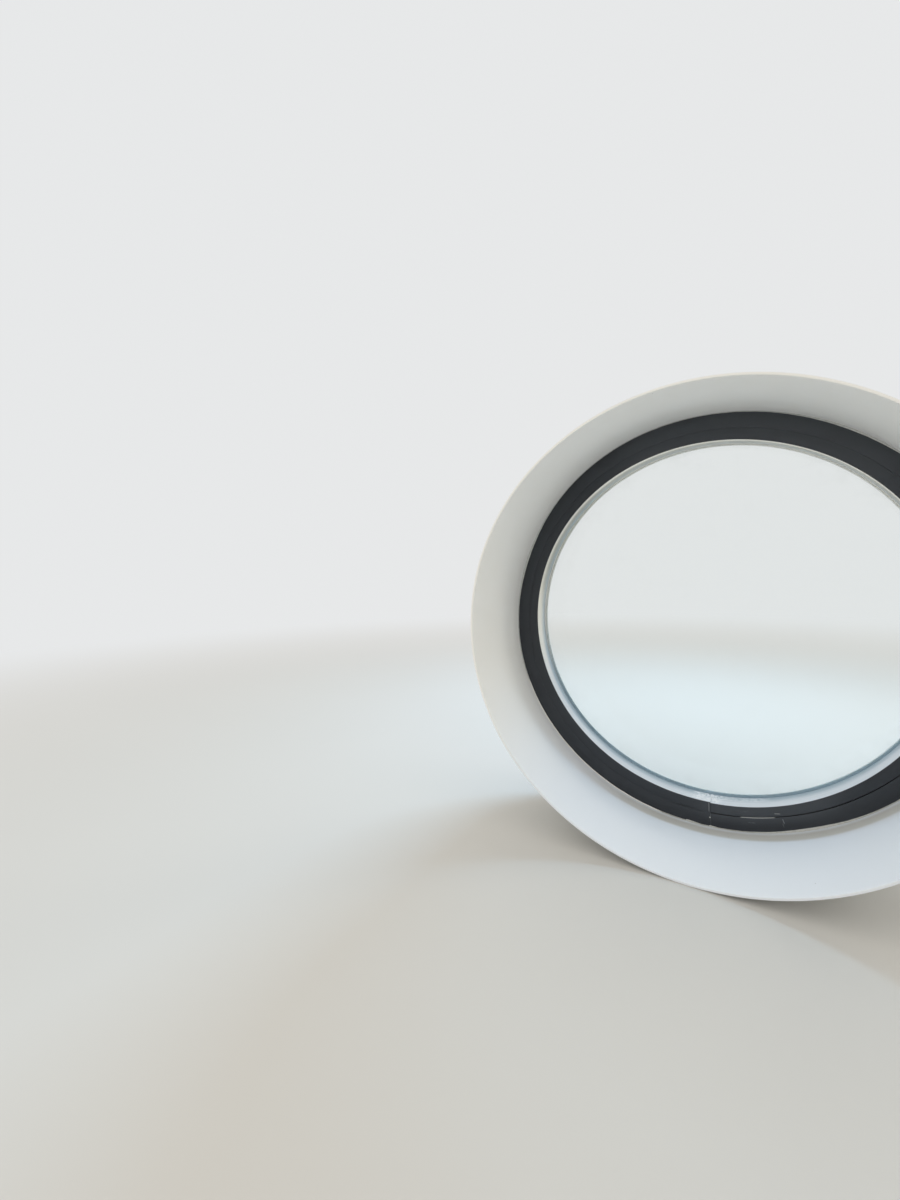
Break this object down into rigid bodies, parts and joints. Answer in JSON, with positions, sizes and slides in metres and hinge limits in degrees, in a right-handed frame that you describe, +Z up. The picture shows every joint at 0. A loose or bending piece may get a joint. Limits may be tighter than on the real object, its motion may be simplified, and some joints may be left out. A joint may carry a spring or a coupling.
{
  "type": "porthole window",
  "caption": "Round fixed window: a dark rolled frame with a snap-in bead holds one clear pane at the back of a deep white round reveal lining.",
  "frame": {"origin": "centre of the lining's room-side rim, on the window's axis", "axes": "+Y along the window's axis from the room to the outside, +Z up, +X along the wall to the right as seen from the room"},
  "size_m": [0.7999, 0.28, 0.8],
  "materials": {
    "lining_paint": "satin",
    "frame_coating": "matte",
    "bead_coating": "matte",
    "pale_strip": "satin",
    "grey_gasket": "matte",
    "clear_glass": "polished",
    "pale_sealant": "satin",
    "grey_sealant": "satin",
    "slate_gasket": "matte",
    "block_plastic": "matte",
    "splice_metal": "satin",
    "screw_steel": "satin"
  },
  "bodies": {
    "root": {"reveal_lining": "lining_paint", "frame_ring": "frame_coating", "glazing_bead": "bead_coating", "bead_return": "pale_strip", "inner_gasket": "grey_gasket", "glass_pane": "clear_glass", "weather_seal": "pale_sealant", "room_seal": "grey_sealant", "outer_gasket": "slate_gasket", "setting_blocks": "block_plastic", "location_blocks": "block_plastic", "frame_splice": "splice_metal", "splice_screws": "screw_steel", "frame_screws": "screw_steel", "outside_seal": "grey_sealant"}
  },
  "joints": []
}
